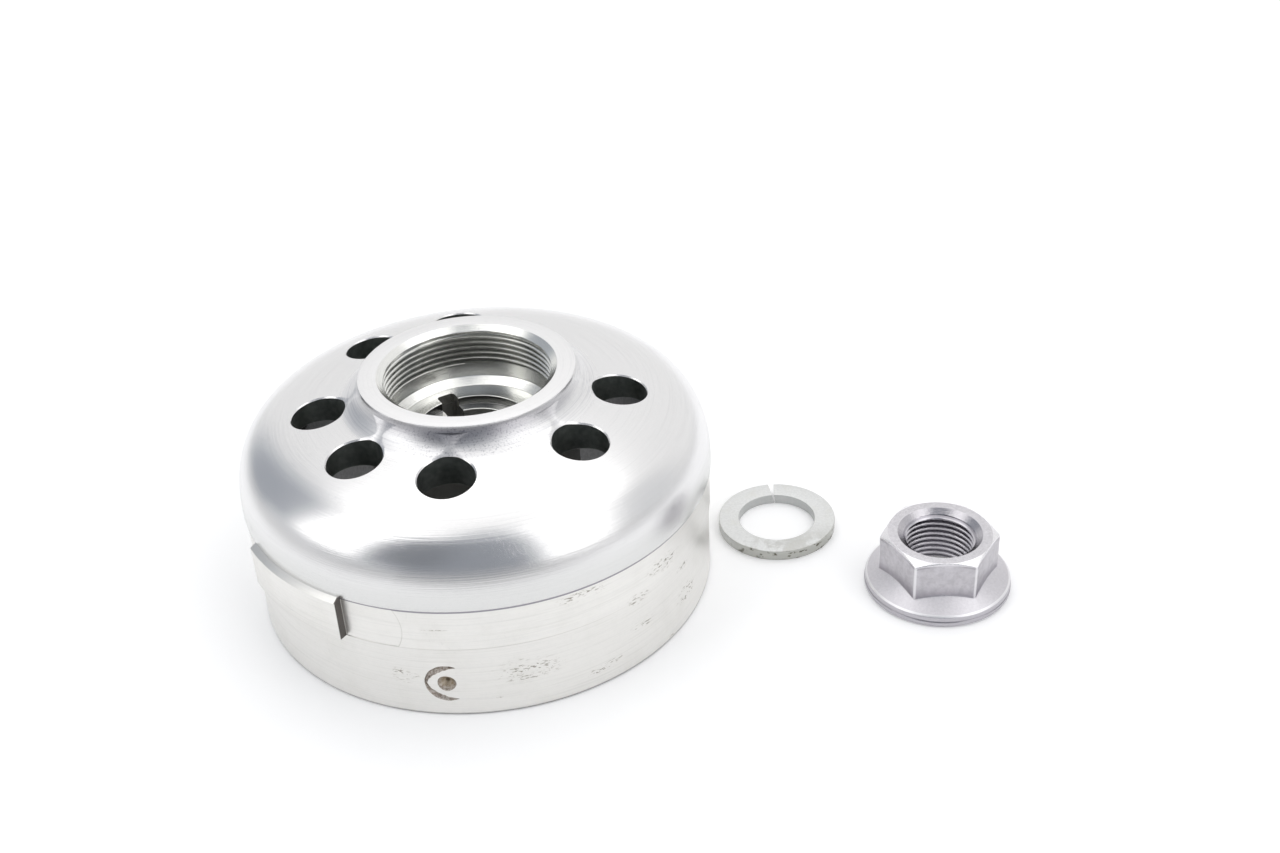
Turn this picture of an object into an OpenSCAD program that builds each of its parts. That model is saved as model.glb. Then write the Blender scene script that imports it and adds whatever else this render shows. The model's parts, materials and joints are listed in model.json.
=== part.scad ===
// Magneto flywheel with its lock washer and flange nut.
// Millimetres. The drum's axis is Z and its open rim stands on the plane Z = 0.
// Angles run from +X towards +Y, in degrees.

/* [Drum] */
// Outside diameter of the rim
rim_d = 76; // [70:0.5:110]
// Overall height, from the rim to the top of the collar
drum_h = 39.1; // [33:0.1:52]
// Height of the plain rim below the sensor band
rim_h = 12.9; // [8:0.1:14]
// How far the sensor band stands out from the rim
band_step = 0.3; // [0.1:0.05:0.6]
// Height of the seam where the dome begins
seam_z = 20.6; // [17:0.1:23]
// How far the foot of the dome stands out from the rim
shoulder_step = 0.6; // [0.3:0.05:1]
// Height of the straight foot of the dome
shoulder_h = 1.05; // [0.4:0.05:2]
// Wall of the drum round the magnets
drum_wall = 4.5; // [3:0.1:7]
// Thickness of the web between the hub and the drum
web_t = 4.4; // [3:0.1:6]
// Slope of the dome where it leaves the hole circle
dome_slope = 8.3; // [2:0.1:14]
// Fullness of the dome near its top, as a share of its run
dome_lead = 0.527; // [0.3:0.01:0.7]
// Fullness of the dome near its foot, as a share of its rise
dome_drop = 0.797; // [0.5:0.01:0.95]
// Chamfer on the rim's edges
rim_chamfer = 0.5; // [0.2:0.1:1]

/* [Collar and puller thread] */
// Wall of the collar outside the puller thread
collar_wall = 3.45; // [2.5:0.05:5]
// Height of the collar above the dome at the hole circle
collar_h = 4.5; // [3:0.1:6]
// Radius of the hollow between the collar and the dome
collar_fillet = 5; // [4:0.1:6]
// Height of the plain edge between the hollow and the collar's top
collar_lip = 0.4; // [0.2:0.1:1]
// Major diameter of the puller thread
puller_d = 28; // [24:1:30]
// Pitch of the puller thread
puller_pitch = 1; // [0.75:0.25:1.5]
// Length of the puller thread
puller_l = 5.4; // [4:0.1:7]
// Depth of the lead-in chamfer above the thread
puller_lead = 1.5; // [0.8:0.1:2]
// Depth from the collar's top to the washer seat
recess_depth = 10.8; // [9.5:0.1:13]
// Height of the sloping edge round the washer seat
seat_edge_h = 1.1; // [0.5:0.1:1.5]
// Width of the sloping edge round the washer seat
seat_edge_w = 1.5; // [0.8:0.1:2]
// Chamfer on the collar's top edge
collar_chamfer = 0.1; // [0.05:0.05:0.3]
// Depth of the relief under the thread, beyond its major diameter
relief_step = 0.1; // [0.1:0.1:0.5]
// Width by which the lead-in's mouth is wider than the relief
mouth_step = 0.4; // [0.2:0.1:1]

/* [Hub] */
// Wall of the hub outside the puller thread's diameter
hub_wall = 3; // [2:0.1:4]
// Radius between the hub and the web
hub_fillet = 2; // [1:0.1:2.5]
// Diameter of the counterbore in the washer seat
counterbore_d = 18.4; // [17:0.1:20]
// Depth of the counterbore
counterbore_h = 1.5; // [0.8:0.1:2]
// Small end of the tapered bore
taper_d = 14.9; // [12:0.1:16]
// Length of taper for each millimetre of diameter
taper_ratio = 5; // [5:1:10]
// Width of the keyway
key_w = 3; // [2:0.1:4]
// Reach of the keyway from the axis
key_reach = 11.2; // [10:0.1:13]
// Direction of the keyway
key_angle = 112; // [0:1:359]

/* [Vent holes] */
// Diameter of the vent holes
vent_d = 8.8; // [6:0.1:9.5]
// Gap between a vent hole and the liner, measured along the radius
vent_gap = 0.15; // [0.1:0.05:2]
// Direction of the middle vent hole
vent_middle = -139.8; // [-180:0.1:180]
// Chamfer on the vent holes
vent_chamfer = 0.25; // [0.1:0.05:0.5]

/* [Pick-up tooth and timing mark] */
// Height of the tooth above the rim's surface
tooth_h = 1.6; // [1:0.1:3]
// Direction of the tooth's first end
tooth_start = -158; // [-180:0.5:180]
// Length of the tooth in degrees
tooth_arc = 31.7; // [10:0.1:60]
// Height of the slope on top of the tooth
tooth_slope_h = 0.6; // [0.3:0.1:1]
// Direction of the timing mark
mark_angle = -103.1; // [-180:0.1:180]
// Height of the timing mark above the rim's edge
mark_z = 6.35; // [4:0.05:9]
// Diameter of the mark's punched point
mark_d = 2.9; // [1:0.1:4]
// Radius of the curved line round the point, to its middle
mark_ring_r = 2.95; // [2:0.05:4]
// Width of the curved line
mark_ring_w = 0.8; // [0.3:0.1:1.2]
// Depth of the curved line
mark_ring_depth = 0.3; // [0.1:0.05:0.5]
// Length of the curved line in degrees
mark_ring_arc = 240; // [180:5:300]

/* [Magnets] */
// Number of magnets
magnet_count = 12; // [12:1:12]
// Thickness of a magnet, measured along the radius
magnet_t = 4.2; // [3:0.1:6]
// Width of the cage's rib between two magnets
rib_w = 2.2; // [1.2:0.1:3]
// Chamfer on a magnet's edges
magnet_chamfer = 0.4; // [0.2:0.1:0.8]
// Gap between a magnet or the cage and the drum
bond_gap = 0.1; // [0.05:0.05:0.3]
// Gap round a magnet in its pocket, and between stacked pieces
pocket_gap = 0.05; // [0.05:0.05:0.2]
// Thickness of the cage's lower ring
cage_floor_t = 1.4; // [1:0.1:2]
// Thickness of the cage's upper ring
cage_roof_t = 1.2; // [1:0.1:2]
// Thickness of the liner's sheet
liner_t = 0.4; // [0.3:0.1:0.8]
// Thickness of the spacer at the closed end
spacer_t = 1.4; // [1:0.1:2]
// Depth of the shoulder that the spacer rests on
shoulder_in = 1.2; // [0.8:0.1:2]
// Radius inside the drum between its wall and the web
corner_fillet = 2; // [1:0.1:2.5]
// Height of the plain step between that radius and the shoulder
shoulder_land = 0.2; // [0.1:0.1:1]

/* [Retaining ring] */
// Thickness of the retaining ring
ring_t = 1.5; // [1:0.1:2]
// Width of the retaining ring, measured along the radius
ring_w = 3; // [2.5:0.1:4]
// Depth of its groove
groove_depth = 0.8; // [0.5:0.1:1.2]
// Height of the groove above the rim
groove_z = 2; // [1.5:0.1:3]
// Gap between the ring and its groove
groove_gap = 0.05; // [0.05:0.01:0.1]
// Opening between the ring's two ears, in degrees
ring_opening = 16; // [12:1:30]
// Direction of the ring's opening
ring_angle = 60; // [0:1:359]
// Radius of an ear
ear_r = 2.3; // [2:0.1:2.5]
// Diameter of an ear's hole
ear_hole_d = 2; // [1.5:0.1:2.5]

/* [Lock washer] */
// Outside diameter of the lock washer
washer_d = 20.3; // [18:0.1:22]
// Inside diameter of the lock washer
washer_hole_d = 13.2; // [12.4:0.1:14]
// Thickness of the lock washer
washer_t = 1.77; // [1.2:0.01:3]
// Width of the split
washer_split = 0.6; // [0.4:0.1:1.2]
// Lean of the split from upright
washer_lean = 10; // [0:1:35]
// Direction of the split
washer_angle = 81; // [0:1:359]
// Gap between the drum's rim and the washer lying beside it
washer_gap = 2.55; // [1:0.05:20]
// How far the washer lies off the X axis
washer_off = 0.2; // [-20:0.1:20]

/* [Flange nut] */
// Major diameter of the nut's thread
nut_thread_d = 12; // [10:1:14]
// Pitch of the nut's thread
nut_pitch = 1; // [0.75:0.25:1.5]
// Distance across the hexagon's flats
nut_af = 17; // [16:0.1:19]
// Overall height of the nut
nut_h = 10.2; // [9:0.1:12]
// Diameter of the flange
flange_d = 24; // [22:0.1:26]
// Thickness of the flange at its edge
flange_t = 2.1; // [1.5:0.1:2.5]
// Height where the flange meets the hexagon
flange_rise = 3.8; // [3:0.1:4.5]
// Chamfer on the flange's edge
flange_chamfer = 0.35; // [0.2:0.05:0.5]
// Widest diameter of the countersink in the nut's top
nut_sink_d = 13.8; // [13:0.1:15]
// Depth of the countersink
nut_sink_h = 0.85; // [0.5:0.05:1.5]
// How far the top chamfer reaches inside the flats
nut_chamfer_in = 0.1; // [0:0.05:0.5]
// Turn of the hexagon
nut_angle = -10.7; // [-30:0.1:30]
// How far the nut stands beyond the washer's centre, along X
nut_dx = 22.45; // [0:0.05:60]
// How far the nut stands from the washer's centre, along Y
nut_dy = -21.1; // [-60:0.1:60]

/* [Hidden] */
$fn = 96;
// Overrun of a cut through a face
eps = 0.01;
// Overlap of joined shapes, and overrun of a cut into open space
lap = 0.5;

// A thread's minor radius is its major radius less 5/8 of a 60-degree profile's height
function minor_r(d, pitch) = d / 2 - 0.625 * pitch * cos(30);

rim_r = rim_d / 2;
band_r = rim_r + band_step;
shoulder_r = rim_r + shoulder_step;
shoulder_z = seam_z + shoulder_h;
tooth_r = rim_r + tooth_h;
collar_r = puller_d / 2 + collar_wall;
dome_z = drum_h - collar_h;
web_z = dome_z - web_t;
hub_r = puller_d / 2 + hub_wall;

// Magnet stack, from the drum's bore inwards
bore_r = rim_r - drum_wall;
magnet_out_r = bore_r - bond_gap;
magnet_in_r = magnet_out_r - magnet_t;
liner_out_r = magnet_in_r - pocket_gap;
liner_in_r = liner_out_r - liner_t;

// The vent holes lie just inside the liner
vent_pitch_r = liner_in_r - vent_gap - vent_d / 2;

// Magnet stack, from the ring's groove upwards
groove_top = groove_z + ring_t + 2 * groove_gap;
liner_flange_top = groove_top + liner_t;
cage_bottom = liner_flange_top + pocket_gap;
seat_z = web_z - corner_fillet - shoulder_land;
spacer_bottom = seat_z - spacer_t;
cage_top = spacer_bottom - pocket_gap;
magnet_bottom = cage_bottom + cage_floor_t + pocket_gap;
magnet_top = cage_top - cage_roof_t - pocket_gap;
rib_arc = 2 * asin(rib_w / 2 / magnet_in_r);
magnet_step = 360 / magnet_count;

// Collar recess, from its top downwards
puller_r = minor_r(puller_d, puller_pitch);
relief_r = puller_d / 2 + relief_step;
mouth_r = relief_r + mouth_step;
thread_top = drum_h - puller_lead;
thread_bottom = thread_top - puller_l;
seat_floor = drum_h - recess_depth;
ledge_z = seat_floor - counterbore_h;
taper_big_d = taper_d + ledge_z / taper_ratio;

// Directions of the vent holes from the middle one: an eighth place, opposite it, stays solid
vent_offsets = [0, 38, 90.5, 129, -38, -90.5, -129];

// Loose pieces, beside the drum
washer_place = [rim_r + washer_gap + washer_d / 2, washer_off];
nut_place = washer_place + [nut_dx, nut_dy];
nut_r = minor_r(nut_thread_d, nut_pitch);

// Points of an arc about c from angle a to angle b
function arc(c, r, a, b, n = 8) =
    [for (i = [0:n]) let (t = a + (b - a) * i / n) c + r * [cos(t), sin(t)]];

// Points of a cubic curve through four control points
function cubic(p, n = 20) =
    [for (i = [0:n]) let (t = i / n, s = 1 - t)
        s * s * s * p[0] + 3 * s * s * t * p[1] + 3 * s * t * t * p[2] + t * t * t * p[3]];

// Dome, from its foot to the hole circle
dome_foot = [shoulder_r, shoulder_z];
dome_top = [vent_pitch_r, dome_z];
dome_run = shoulder_r - vent_pitch_r;
dome_rise = dome_z - shoulder_z;
dome_line = cubic([
    dome_foot,
    dome_foot + [0, dome_drop * dome_rise],
    dome_top + dome_lead * dome_run * [cos(dome_slope), -sin(dome_slope)],
    dome_top
]);

// Hollow between dome and collar: tangent to the dome's cone, and it meets the collar's lip
// where its own wall leans by hollow_lean
lip_z = drum_h - collar_lip;
hollow_lean = asin(cos(dome_slope) * ((dome_z - lip_z) / collar_fillet + cos(dome_slope)
    + ((vent_pitch_r - collar_r) / collar_fillet + sin(dome_slope)) * tan(dome_slope))) - dome_slope;
hollow_centre = [collar_r, lip_z] + collar_fillet * [cos(hollow_lean), sin(hollow_lean)];
hollow_line = arc(hollow_centre, collar_fillet, 270 - dome_slope, 180 + hollow_lean, 12);

// Section of the whole drum, hub and collar: bore, underside, rim, dome, collar, recess
shell_section = concat(
    [[taper_big_d / 2, 0], [hub_r - rim_chamfer, 0], [hub_r, rim_chamfer]],
    arc([hub_r + hub_fillet, web_z - hub_fillet], hub_fillet, 180, 90),
    arc([bore_r - shoulder_in - corner_fillet, web_z - corner_fillet], corner_fillet, 90, 0),
    [[bore_r - shoulder_in, seat_z], [bore_r, seat_z], [bore_r, groove_top],
     [bore_r + groove_depth, groove_top], [bore_r + groove_depth, groove_z], [bore_r, groove_z],
     [bore_r, rim_chamfer], [bore_r + rim_chamfer, 0], [rim_r - rim_chamfer, 0],
     [rim_r, rim_chamfer], [rim_r, rim_h], [band_r, rim_h + band_step], [band_r, seam_z],
     [shoulder_r, seam_z]],
    dome_line,
    hollow_line,
    [[collar_r, drum_h - collar_chamfer], [collar_r - collar_chamfer, drum_h], [mouth_r, drum_h],
     [puller_r, thread_top], [puller_r, thread_bottom], [relief_r, thread_bottom],
     [relief_r, seat_floor + seat_edge_h], [relief_r - seat_edge_w, seat_floor],
     [counterbore_d / 2, seat_floor], [counterbore_d / 2, ledge_z], [taper_d / 2, ledge_z]]
);

module pickup_tooth() {
    rotate([0, 0, tooth_start])
        rotate_extrude(angle = tooth_arc)
            polygon([[rim_r - lap, rim_h + band_step], [tooth_r, rim_h + band_step],
                     [tooth_r, seam_z - tooth_slope_h], [shoulder_r, seam_z],
                     [shoulder_r, seam_z + lap], [rim_r - lap, seam_z + lap]]);
}

module vent_hole() {
    cylinder(d = vent_d, h = drum_h);
    // chamfer on the underside of the web
    translate([0, 0, web_z - eps])
        cylinder(r1 = vent_d / 2 + vent_chamfer, r2 = vent_d / 2, h = vent_chamfer);
}

module keyway() {
    rotate([0, 0, key_angle])
        translate([0, -key_w / 2, -eps])
            cube([key_reach, key_w, seat_floor + 2 * eps]);
}

// A punched point with a curved line round it, open on one side
module timing_mark() {
    rotate([0, 0, mark_angle])
        translate([rim_r, 0, mark_z])
            rotate([0, -90, 0]) {
                // a 90-degree point, so its radius is its depth
                translate([0, 0, -lap])
                    cylinder(r1 = mark_d / 2 + lap, r2 = 0, h = mark_d / 2 + lap);
                rotate([0, 0, -90 - mark_ring_arc / 2])
                    rotate_extrude(angle = mark_ring_arc)
                        translate([mark_ring_r - mark_ring_w / 2, -lap])
                            square([mark_ring_w, lap + mark_ring_depth]);
            }
}

module rotor_shell() {
    color("silver")
        difference() {
            union() {
                rotate_extrude() polygon(shell_section);
                pickup_tooth();
            }
            for (a = vent_offsets)
                rotate([0, 0, vent_middle + a])
                    translate([vent_pitch_r, 0, 0]) vent_hole();
            keyway();
            timing_mark();
        }
}

// Ring that keeps the magnets off the web
module end_spacer() {
    color("lightgray")
        translate([0, 0, spacer_bottom])
            difference() {
                cylinder(r = magnet_out_r, h = spacer_t);
                translate([0, 0, -eps]) cylinder(r = magnet_in_r, h = spacer_t + 2 * eps);
            }
}

// Sector of a ring between two radii, centred on +X, with chamfered edges
module sector(r_in, r_out, z_low, z_high, sweep, edge) {
    rotate([0, 0, -sweep / 2])
        rotate_extrude(angle = sweep)
            polygon([[r_in + edge, z_low], [r_out - edge, z_low], [r_out, z_low + edge],
                     [r_out, z_high - edge], [r_out - edge, z_high], [r_in + edge, z_high],
                     [r_in, z_high - edge], [r_in, z_low + edge]]);
}

module magnet(i) {
    color("dimgray")
        rotate([0, 0, i * magnet_step])
            sector(magnet_in_r, magnet_out_r, magnet_bottom, magnet_top,
                   magnet_step - rib_arc, magnet_chamfer);
}

// Moulded cage: a ring with a pocket for each magnet
module magnet_cage() {
    pocket_arc = magnet_step - rib_arc + 2 * asin(pocket_gap / magnet_in_r);
    color("black")
        difference() {
            translate([0, 0, cage_bottom]) cylinder(r = magnet_out_r, h = cage_top - cage_bottom);
            translate([0, 0, cage_bottom - eps])
                cylinder(r = magnet_in_r, h = cage_top - cage_bottom + 2 * eps);
            for (i = [1:magnet_count])
                rotate([0, 0, i * magnet_step])
                    sector(magnet_in_r - lap, magnet_out_r + lap, magnet_bottom - pocket_gap,
                           magnet_top + pocket_gap, pocket_arc, 0);
        }
}

// Thin sleeve inside the magnets, flanged outwards under the cage
module magnet_liner() {
    color("gainsboro")
        rotate_extrude()
            polygon([[liner_in_r, groove_top], [magnet_out_r, groove_top],
                     [magnet_out_r, liner_flange_top], [liner_out_r, liner_flange_top],
                     [liner_out_r, cage_top], [liner_in_r, cage_top]]);
}

// Spring ring in the groove near the rim, with an eared opening
module retaining_ring() {
    ring_out_r = bore_r + groove_depth - groove_gap;
    ear_at = bore_r - ear_r - bond_gap;
    ear_turn = ring_opening / 2 + asin(ear_r / ear_at);
    color("slategray")
        translate([0, 0, groove_z + groove_gap])
            rotate([0, 0, ring_angle])
                difference() {
                    union() {
                        rotate([0, 0, ear_turn])
                            rotate_extrude(angle = 360 - 2 * ear_turn)
                                translate([ring_out_r - ring_w, 0]) square([ring_w, ring_t]);
                        for (side = [-1, 1])
                            rotate([0, 0, side * ear_turn])
                                translate([ear_at, 0, 0]) cylinder(r = ear_r, h = ring_t);
                    }
                    for (side = [-1, 1])
                        rotate([0, 0, side * ear_turn])
                            translate([ear_at, 0, -eps])
                                cylinder(d = ear_hole_d, h = ring_t + 2 * eps);
                }
}

// Spring washer with one leaning split
module lock_washer() {
    color("lightgray")
        translate([washer_place[0], washer_place[1], 0])
            difference() {
                cylinder(d = washer_d, h = washer_t);
                translate([0, 0, -eps]) cylinder(d = washer_hole_d, h = washer_t + 2 * eps);
                rotate([0, 0, washer_angle])
                    translate([(washer_hole_d + washer_d) / 4, 0, washer_t / 2])
                        rotate([washer_lean, 0, 0])
                            cube([(washer_d - washer_hole_d) / 2 + 2 * lap, washer_split,
                                  3 * washer_t], center = true);
            }
}

// Hexagon of the nut, its corners chamfered at the top
module nut_hexagon() {
    corner_r = nut_af / 2 / cos(30);
    chamfer_r = nut_af / 2 - nut_chamfer_in;
    drop = (corner_r - chamfer_r + lap) * tan(30);
    intersection() {
        rotate([0, 0, nut_angle]) cylinder(r = corner_r, h = nut_h, $fn = 6);
        union() {
            cylinder(r = corner_r + lap, h = nut_h - drop);
            translate([0, 0, nut_h - drop])
                cylinder(r1 = corner_r + lap, r2 = chamfer_r, h = drop);
        }
    }
}

module flange_nut() {
    flange_r = flange_d / 2;
    color("silver")
        translate([nut_place[0], nut_place[1], 0])
            difference() {
                union() {
                    rotate_extrude()
                        polygon([[0, 0], [flange_r - flange_chamfer, 0], [flange_r, flange_chamfer],
                                 [flange_r, flange_t - flange_chamfer],
                                 [flange_r - flange_chamfer, flange_t],
                                 [nut_af / 2, flange_rise], [0, flange_rise]]);
                    nut_hexagon();
                }
                translate([0, 0, -eps]) cylinder(r = nut_r, h = nut_h + 2 * eps);
                translate([0, 0, nut_h - nut_sink_h])
                    cylinder(r1 = nut_r, r2 = nut_sink_d / 2, h = nut_sink_h + eps);
                translate([0, 0, -eps])
                    cylinder(r1 = nut_sink_d / 2, r2 = nut_r, h = nut_sink_h);
            }
}

rotor_shell();
end_spacer();
magnet_cage();
magnet_liner();
retaining_ring();
for (i = [1:magnet_count])
    magnet(i);
lock_washer();
flange_nut();
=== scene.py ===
import json
import math

import bmesh
import bpy
from mathutils import Matrix, Vector


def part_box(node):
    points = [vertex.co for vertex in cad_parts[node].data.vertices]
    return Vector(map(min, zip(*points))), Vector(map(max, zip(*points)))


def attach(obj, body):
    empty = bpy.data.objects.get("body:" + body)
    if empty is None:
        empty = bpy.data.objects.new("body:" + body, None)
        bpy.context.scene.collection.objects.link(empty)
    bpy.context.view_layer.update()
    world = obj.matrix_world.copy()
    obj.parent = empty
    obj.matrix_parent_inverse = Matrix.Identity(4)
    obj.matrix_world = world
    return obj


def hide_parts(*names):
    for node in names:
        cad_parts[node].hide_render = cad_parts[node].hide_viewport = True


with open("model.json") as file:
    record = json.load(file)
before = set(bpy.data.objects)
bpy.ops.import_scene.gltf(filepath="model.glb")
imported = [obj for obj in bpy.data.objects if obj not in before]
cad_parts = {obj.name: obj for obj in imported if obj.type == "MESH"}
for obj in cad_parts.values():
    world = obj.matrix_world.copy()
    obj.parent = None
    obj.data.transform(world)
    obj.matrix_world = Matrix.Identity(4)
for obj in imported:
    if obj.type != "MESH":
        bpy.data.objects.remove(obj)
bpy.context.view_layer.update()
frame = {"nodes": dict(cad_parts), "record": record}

scene = bpy.context.scene
mm = 0.001
sharpAngle = math.radians(30)  # faces that meet more steeply than this keep a crisp edge
mounts = {m["name"]: m for m in frame["record"]["mounts"]}


class Wire:
    # one output socket of a node tree, with arithmetic that adds its nodes
    def __init__(self, tree, socket=None):
        self.tree = tree
        self.socket = socket

    def node(self, kind, settings=None, links=None, out=0):
        made = self.tree.nodes.new(kind)
        for name, value in (settings or {}).items():
            setattr(made, name, value)
        for key, value in (links or {}).items():
            if isinstance(value, Wire):
                self.tree.links.new(value.socket, made.inputs[key])
            elif isinstance(value, tuple) and len(value) == 3 and made.inputs[key].type == "RGBA":
                made.inputs[key].default_value = (*value, 1.0)
            else:
                made.inputs[key].default_value = value
        return Wire(self.tree, made.outputs[out] if made.outputs else None)

    def maths(self, operation, *others):
        values = dict(enumerate((self, *others)))
        return self.node("ShaderNodeMath", {"operation": operation}, values)

    def __add__(self, other):
        return self.maths("ADD", other)

    def __radd__(self, other):
        return self.maths("ADD", other)

    def __sub__(self, other):
        return self.maths("SUBTRACT", other)

    def __rsub__(self, other):
        return self.node("ShaderNodeMath", {"operation": "SUBTRACT"}, {0: other, 1: self})

    def __mul__(self, other):
        return self.maths("MULTIPLY", other)

    def __rmul__(self, other):
        return self.maths("MULTIPLY", other)

    def __truediv__(self, other):
        return self.maths("DIVIDE", other)

    def __pow__(self, other):
        return self.maths("POWER", other)

    def rise(self, low, high):
        # 0 below low, 1 above high, smooth between; low may be the larger one
        return self.node("ShaderNodeMapRange", {"interpolation_type": "SMOOTHSTEP", "clamp": True},
                         {"Value": self, "From Min": low, "From Max": high})

    def band(self, low, high, soft):
        return self.rise(low - soft, low + soft) * self.rise(high + soft, high - soft)

    def most(self, other):
        return self.maths("MAXIMUM", other)

    def mix(self, first, second):
        # colour between first and second, by this value
        return self.node("ShaderNodeMix", {"data_type": "RGBA", "clamp_factor": True},
                         {0: self, 6: first, 7: second}, out=2)

    def noise(self, where, scale, detail, roughness):
        return self.node("ShaderNodeTexNoise", {"noise_dimensions": "3D"},
                         {"Vector": where, "Scale": scale, "Detail": detail, "Roughness": roughness})


def combine(wire, x, y, z):
    return wire.node("ShaderNodeCombineXYZ", None, {0: x, 1: y, 2: z})


def place(wire, centre=(0.0, 0.0)):
    # object coordinates in millimetres about a vertical axis, with the angle in radians
    spot = wire.node("ShaderNodeTexCoord", None, None, out=3)
    parts = [spot.node("ShaderNodeSeparateXYZ", None, {0: spot}, out=i) for i in range(3)]
    x = parts[0] * (1 / mm) - centre[0]
    y = parts[1] * (1 / mm) - centre[1]
    z = parts[2] * (1 / mm)
    radius = (x * x + y * y).maths("SQRT")
    angle = y.maths("ARCTAN2", x)
    return dict(x=x, y=y, z=z, radius=radius, angle=angle, solid=combine(wire, x, y, z))


def fromSpot(spot, angle, height, radius):
    # millimetres round a wall and up it, counted from a spot on it
    return (spot["angle"] - math.radians(angle)) * radius, spot["z"] - height


def layered(colour, layers):
    # lays each tone over the colour where its mask is, as strongly as it says
    for mask, strength, tone in layers:
        colour = (mask * strength).mix(colour, tone)
    return colour


def principled(name, build):
    # build(wire) gives what the shader's sockets take; it is metal unless that says otherwise
    material = bpy.data.materials.new(name)
    material.use_nodes = True
    tree = material.node_tree
    tree.nodes.clear()
    wire = Wire(tree)
    links = {"Metallic": 1.0, **build(wire)}
    shader = wire.node("ShaderNodeBsdfPrincipled", None, links)
    wire.node("ShaderNodeOutputMaterial", {"target": "ALL"}, {"Surface": shader})
    return material


def bump(wire, height, strength, distance):
    return wire.node("ShaderNodeBump", None,
                     {"Strength": strength, "Distance": distance, "Height": height})


def rounded(path, steps=3):
    # open outline of (across, up, rounding): each corner becomes a short curve
    out = []
    for i, (x, y, size) in enumerate(path):
        here = Vector((x, y))
        if i in (0, len(path) - 1) or size == 0:
            out.append((x, y))
            continue
        before = Vector(path[i - 1][:2]) - here
        after = Vector(path[i + 1][:2]) - here
        half = before.angle(after, math.pi / 2) / 2
        reach = min(size / math.tan(half), 0.45 * before.length, 0.45 * after.length)
        start = here + before.normalized() * reach
        end = here + after.normalized() * reach
        for k in range(steps + 1):
            t = k / steps
            spot = (1 - t) ** 2 * start + 2 * t * (1 - t) * here + t * t * end
            out.append((spot.x, spot.y))
    return out


def arc(x, y, radius, first, last, steps):
    turns = [math.radians(first + (last - first) * k / steps) for k in range(steps + 1)]
    return [(x + radius * math.cos(t), y + radius * math.sin(t)) for t in turns]


def spun(mesh, angles, rows, centre=(0.0, 0.0), meets=None, material=None):
    # a closed section swept round a vertical axis: rows(angle) gives its (radius, height) points,
    # meets(row) is the row that it runs into after a full turn, and material has one for each row
    columns = []
    for angle in angles:
        column = []
        last = None
        for radius, z in rows(angle):
            if last and abs(last[0] - radius) + abs(last[1] - z) < 1e-5:
                column.append(column[-1])
                continue
            last = (radius, z)
            spot = (centre[0] + radius * math.cos(angle), centre[1] + radius * math.sin(angle), z)
            column.append(mesh.verts.new(Vector(spot) * mm))
        columns.append(column)
    count = len(columns[0])
    first = columns[0] if meets is None else [columns[0][meets(k)] for k in range(count)]
    for this, after in zip(columns, columns[1:] + [first]):
        for k in range(count):
            n = (k + 1) % count
            corners = list(dict.fromkeys((this[k], after[k], after[n], this[n])))
            if len(corners) > 2:
                mesh.faces.new(corners).material_index = material[k] if material else 0
    return mesh


def evenly(count, extra=()):
    # angles all the way round, with extra ones where a detail has its ends
    near = 2 * math.pi / count / 4
    plain = [-math.pi + 2 * math.pi * k / count for k in range(count)]
    kept = [a for a in plain if all(abs(a - e) > near for e in extra)]
    return sorted(kept + list(extra))


threadFade = 0.4  # height in which a thread runs out


def threadRows(angle, thread):
    # rows of a right-hand inside thread at one angle, from its top down
    flat, flank, root = 0.25, 0.3125, 0.125  # shares of the pitch; the other flank is the rest
    per = thread["steps"]
    pitch = thread["pitch"]
    bottom, top = thread["bottom"], thread["top"]
    crest = thread["crest"]
    depth = 0.5413 * pitch  # of a metric inside thread
    last = math.ceil((top - bottom) / pitch + 1) * per
    rows = []
    for k in range(last, -1, -1):
        z = bottom + (k / per + angle / (2 * math.pi) - 0.5) * pitch
        phase = (k % per) / per
        if phase <= flat:
            cut = 0.0
        elif phase <= flat + flank:
            cut = (phase - flat) / flank
        elif phase <= flat + flank + root:
            cut = 1.0
        else:
            cut = (1 - phase) / flank
        z = min(max(z, bottom), top)
        cut *= min(max((thread["fade"] - z) / threadFade, 0.0), 1.0)  # it runs out near its top
        radius = max(crest + cut * depth, thread["limit"](z))
        if z in (bottom, top):
            radius = thread["limit"](z)
        rows.append((radius, z))
    return rows


def finished(name, mesh, materials, body, node):
    bmesh.ops.recalc_face_normals(mesh, faces=mesh.faces)
    data = bpy.data.meshes.new(name)
    mesh.to_mesh(data)
    mesh.free()
    for material in materials:
        data.materials.append(material)
    piece = bpy.data.objects.new(name, data)
    scene.collection.objects.link(piece)
    smooth(data)
    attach(piece, body)
    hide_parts(node)
    return piece


def smooth(data):
    data.polygons.foreach_set("use_smooth", [True] * len(data.polygons))
    data.set_sharp_from_angle(angle=sharpAngle)


def carve(piece, mesh):
    # cuts the closed shapes in mesh out of piece; a cutter's material stays on the faces it leaves
    bmesh.ops.remove_doubles(mesh, verts=mesh.verts, dist=1e-7)
    bmesh.ops.recalc_face_normals(mesh, faces=mesh.faces)
    data = bpy.data.meshes.new("cutter")
    mesh.to_mesh(data)
    mesh.free()
    for material in piece.data.materials:
        data.materials.append(material)
    cutter = bpy.data.objects.new("cutter", data)
    scene.collection.objects.link(cutter)
    cut = piece.modifiers.new("cut", "BOOLEAN")
    cut.operation = "DIFFERENCE"
    cut.solver = "EXACT"
    cut.object = cutter
    view = bpy.context.evaluated_depsgraph_get()
    done = bpy.data.meshes.new_from_object(piece.evaluated_get(view))
    piece.modifiers.clear()
    old = piece.data
    piece.data = done
    bpy.data.meshes.remove(old)
    bpy.data.objects.remove(cutter)
    bpy.data.meshes.remove(data)
    smooth(done)


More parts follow.
